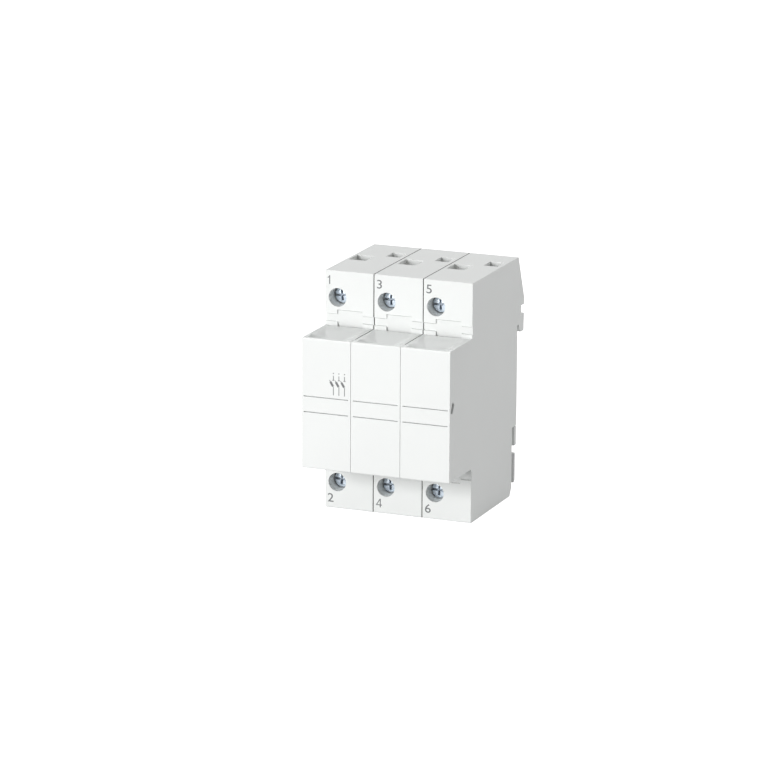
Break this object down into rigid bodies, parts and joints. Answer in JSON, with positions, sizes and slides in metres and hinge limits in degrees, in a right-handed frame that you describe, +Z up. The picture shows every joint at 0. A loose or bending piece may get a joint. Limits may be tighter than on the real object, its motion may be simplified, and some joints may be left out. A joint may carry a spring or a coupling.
{
  "type": "cylindrical fuse holder",
  "caption": "Modular rail-mounted holder for cylindrical fuse links, with hinged fuse drawers tied together, box clamp terminals above and below, and a sprung rail latch behind each pole.",
  "frame": {"origin": "middle of the face that rests on the mounting rail", "axes": "+X to the right seen from the front, +Y back towards the rail, +Z up"},
  "size_m": [0.0532, 0.0695, 0.0828],
  "materials": {
    "housing_plastic": "fine satin",
    "drawer_plastic": "smooth satin",
    "latch_plastic": "satin",
    "ceramic": "glazed ceramic",
    "nickel": "nickel plated",
    "zinc": "blue zinc plated",
    "silvered_copper": "silver plated copper",
    "steel": "plain zinc plated"
  },
  "bodies": {
    "housing": {"housing_1": "housing_plastic", "side_cover_1": "housing_plastic", "contact_upper_1": "silvered_copper", "contact_lower_1": "silvered_copper", "housing_2": "housing_plastic", "side_cover_2": "housing_plastic", "contact_upper_2": "silvered_copper", "contact_lower_2": "silvered_copper", "housing_3": "housing_plastic", "side_cover_3": "housing_plastic", "contact_upper_3": "silvered_copper", "contact_lower_3": "silvered_copper", "rivet_1": "steel", "rivet_2": "steel", "rivet_3": "steel", "rivet_4": "steel"},
    "fuse_drawers": {"fuse_drawer_1": "drawer_plastic", "fuse_tube_1": "ceramic", "fuse_cap_upper_1": "nickel", "fuse_cap_lower_1": "nickel", "fuse_drawer_2": "drawer_plastic", "fuse_tube_2": "ceramic", "fuse_cap_upper_2": "nickel", "fuse_cap_lower_2": "nickel", "fuse_drawer_3": "drawer_plastic", "fuse_tube_3": "ceramic", "fuse_cap_upper_3": "nickel", "fuse_cap_lower_3": "nickel", "tie_bar": "steel"},
    "terminal_screw_upper_1": {"terminal_screw_upper_1": "zinc"},
    "clamp_cage_upper_1": {"clamp_cage_upper_1": "steel"},
    "terminal_screw_lower_1": {"terminal_screw_lower_1": "zinc"},
    "clamp_cage_lower_1": {"clamp_cage_lower_1": "steel"},
    "terminal_screw_upper_2": {"terminal_screw_upper_2": "zinc"},
    "clamp_cage_upper_2": {"clamp_cage_upper_2": "steel"},
    "terminal_screw_lower_2": {"terminal_screw_lower_2": "zinc"},
    "clamp_cage_lower_2": {"clamp_cage_lower_2": "steel"},
    "terminal_screw_upper_3": {"terminal_screw_upper_3": "zinc"},
    "clamp_cage_upper_3": {"clamp_cage_upper_3": "steel"},
    "terminal_screw_lower_3": {"terminal_screw_lower_3": "zinc"},
    "clamp_cage_lower_3": {"clamp_cage_lower_3": "steel"},
    "rail_latch_1": {"rail_latch_1": "latch_plastic"},
    "rail_latch_2": {"rail_latch_2": "latch_plastic"},
    "rail_latch_3": {"rail_latch_3": "latch_plastic"}
  },
  "joints": [
    {"name": "drawer_hinge", "type": "hinge", "parent": "housing", "child": "fuse_drawers", "pos_m": [0, -0.05965, -0.0209], "axis": [1, 0, 0], "range_deg": [0, 85]},
    {"name": "screw_turn_upper_1", "type": "hinge", "parent": "housing", "child": "terminal_screw_upper_1", "pos_m": [-0.0221, -0.0375, 0.0322], "axis": [0, 1, 0], "range_deg": [0, 3240]},
    {"name": "clamp_slide_upper_1", "type": "slide", "parent": "housing", "child": "clamp_cage_upper_1", "axis": [0, -1, 0], "range_m": [0, 0.0063]},
    {"name": "screw_turn_lower_1", "type": "hinge", "parent": "housing", "child": "terminal_screw_lower_1", "pos_m": [-0.0221, -0.0375, -0.0322], "axis": [0, 1, 0], "range_deg": [0, 3240]},
    {"name": "clamp_slide_lower_1", "type": "slide", "parent": "housing", "child": "clamp_cage_lower_1", "axis": [0, -1, 0], "range_m": [0, 0.0063]},
    {"name": "screw_turn_upper_2", "type": "hinge", "parent": "housing", "child": "terminal_screw_upper_2", "pos_m": [-0.0043, -0.0375, 0.0322], "axis": [0, 1, 0], "range_deg": [0, 3240]},
    {"name": "clamp_slide_upper_2", "type": "slide", "parent": "housing", "child": "clamp_cage_upper_2", "axis": [0, -1, 0], "range_m": [0, 0.0063]},
    {"name": "screw_turn_lower_2", "type": "hinge", "parent": "housing", "child": "terminal_screw_lower_2", "pos_m": [-0.0043, -0.0375, -0.0322], "axis": [0, 1, 0], "range_deg": [0, 3240]},
    {"name": "clamp_slide_lower_2", "type": "slide", "parent": "housing", "child": "clamp_cage_lower_2", "axis": [0, -1, 0], "range_m": [0, 0.0063]},
    {"name": "screw_turn_upper_3", "type": "hinge", "parent": "housing", "child": "terminal_screw_upper_3", "pos_m": [0.0135, -0.0375, 0.0322], "axis": [0, 1, 0], "range_deg": [0, 3240]},
    {"name": "clamp_slide_upper_3", "type": "slide", "parent": "housing", "child": "clamp_cage_upper_3", "axis": [0, -1, 0], "range_m": [0, 0.0063]},
    {"name": "screw_turn_lower_3", "type": "hinge", "parent": "housing", "child": "terminal_screw_lower_3", "pos_m": [0.0135, -0.0375, -0.0322], "axis": [0, 1, 0], "range_deg": [0, 3240]},
    {"name": "clamp_slide_lower_3", "type": "slide", "parent": "housing", "child": "clamp_cage_lower_3", "axis": [0, -1, 0], "range_m": [0, 0.0063]},
    {"name": "latch_slide_1", "type": "slide", "parent": "housing", "child": "rail_latch_1", "axis": [0, 0, -1], "range_m": [0, 0.0035], "stiffness_N_per_m": 500, "springref_m": -0.002},
    {"name": "latch_slide_2", "type": "slide", "parent": "housing", "child": "rail_latch_2", "axis": [0, 0, -1], "range_m": [0, 0.0035], "stiffness_N_per_m": 500, "springref_m": -0.002},
    {"name": "latch_slide_3", "type": "slide", "parent": "housing", "child": "rail_latch_3", "axis": [0, 0, -1], "range_m": [0, 0.0035], "stiffness_N_per_m": 500, "springref_m": -0.002}
  ],
  "couplings": [
    {"joint": "screw_turn_upper_1", "follows": "clamp_slide_upper_1", "rad_per_m": 8976},
    {"joint": "screw_turn_lower_1", "follows": "clamp_slide_lower_1", "rad_per_m": 8976},
    {"joint": "screw_turn_upper_2", "follows": "clamp_slide_upper_2", "rad_per_m": 8976},
    {"joint": "screw_turn_lower_2", "follows": "clamp_slide_lower_2", "rad_per_m": 8976},
    {"joint": "screw_turn_upper_3", "follows": "clamp_slide_upper_3", "rad_per_m": 8976},
    {"joint": "screw_turn_lower_3", "follows": "clamp_slide_lower_3", "rad_per_m": 8976}
  ]
}
